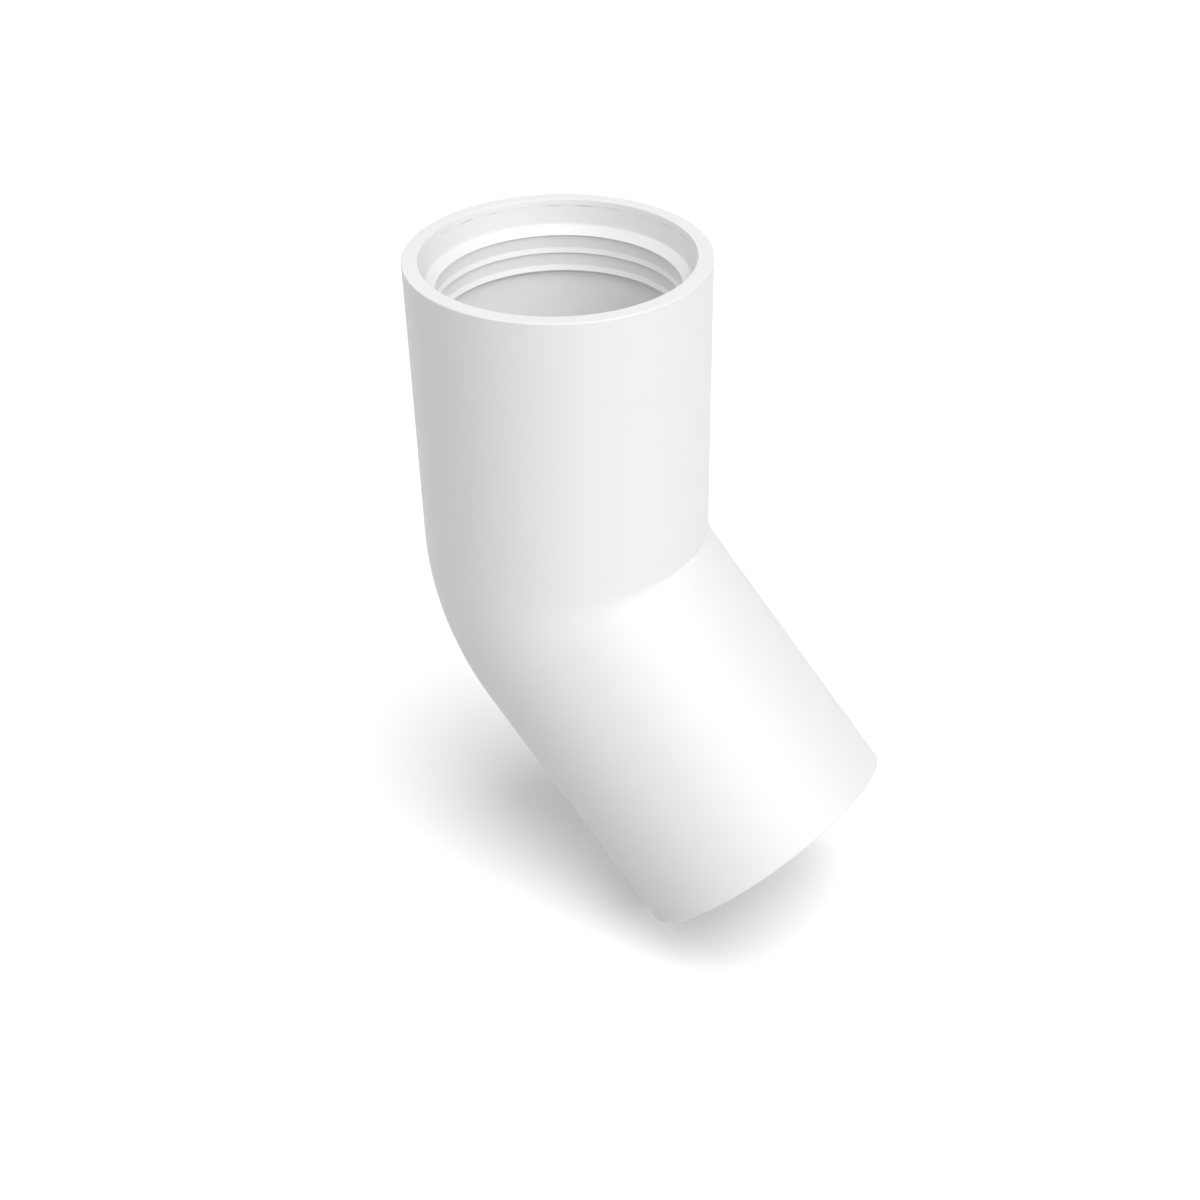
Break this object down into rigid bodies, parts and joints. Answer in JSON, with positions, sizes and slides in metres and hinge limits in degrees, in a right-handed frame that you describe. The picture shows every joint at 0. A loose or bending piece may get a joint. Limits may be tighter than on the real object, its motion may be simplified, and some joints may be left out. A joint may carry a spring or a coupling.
{
  "type": "pipe elbow fitting",
  "caption": "White PVC 45 degree pipe elbow, female at both ends, with a ringed bush recessed in each mouth.",
  "frame": {"origin": "centre of the upper mouth, in the plane of its rim", "axes": "+Z along the upper leg and out of its mouth; the lower leg bends 45 degrees towards +X; the XZ plane is the plane of symmetry"},
  "size_m": [0.0651, 0.038, 0.0924],
  "materials": {
    "body_pvc": "satin white moulded PVC",
    "bush_pvc": "satin white moulded PVC"
  },
  "bodies": {
    "root": {"elbow_body": "body_pvc", "upper_ring_bush": "bush_pvc", "lower_ring_bush": "bush_pvc"}
  },
  "joints": []
}
